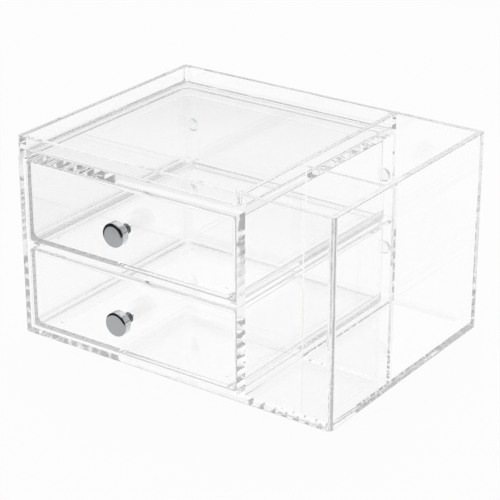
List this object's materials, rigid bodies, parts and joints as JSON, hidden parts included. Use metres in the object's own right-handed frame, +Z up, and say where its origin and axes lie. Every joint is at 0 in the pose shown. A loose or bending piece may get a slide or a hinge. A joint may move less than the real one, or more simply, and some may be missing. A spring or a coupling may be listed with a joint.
{
  "type": "desk organizer",
  "caption": "Clear acrylic desk organizer: stacked sliding drawers with round metal knobs under a shallow tray, beside an open-topped bin with a divider.",
  "frame": {"origin": "centre of the base panel's footprint, on the face that stands on the desk", "axes": "+X to the right along the front, -Y out of the front where the drawers open, +Z up"},
  "size_m": [0.24, 0.1925, 0.138],
  "materials": {
    "case_acrylic": "clear polished cast acrylic sheet",
    "drawer_acrylic": "clear moulded acrylic, glossy",
    "clear_bumper": "clear soft polyurethane, glossy",
    "chrome_knob": "polished chrome plate",
    "steel_stud": "plain zinc-plated thread"
  },
  "bodies": {
    "housing": {"base_panel": "case_acrylic", "left_wall": "case_acrylic", "partition_wall": "case_acrylic", "case_back": "case_acrylic", "left_drawer_rail": "case_acrylic", "right_drawer_rail": "case_acrylic", "bin_front_wall": "case_acrylic", "bin_back_wall": "case_acrylic", "bin_right_wall": "case_acrylic", "bin_divider": "case_acrylic", "tray_floor": "case_acrylic", "tray_left_rim": "case_acrylic", "tray_right_rim": "case_acrylic", "tray_front_rim": "case_acrylic", "tray_back_rim": "case_acrylic", "drawer_bumpers": "clear_bumper"},
    "lower_drawer": {"lower_drawer_front": "drawer_acrylic", "lower_drawer_box": "drawer_acrylic", "lower_knob": "chrome_knob", "lower_knob_stud": "steel_stud"},
    "upper_drawer": {"upper_drawer_front": "drawer_acrylic", "upper_drawer_box": "drawer_acrylic", "upper_knob": "chrome_knob", "upper_knob_stud": "steel_stud"}
  },
  "joints": [
    {"name": "lower_drawer_slide", "type": "slide", "parent": "housing", "child": "lower_drawer", "axis": [0, -1, 0], "range_m": [0, 0.12]},
    {"name": "upper_drawer_slide", "type": "slide", "parent": "housing", "child": "upper_drawer", "axis": [0, -1, 0], "range_m": [0, 0.12]}
  ]
}
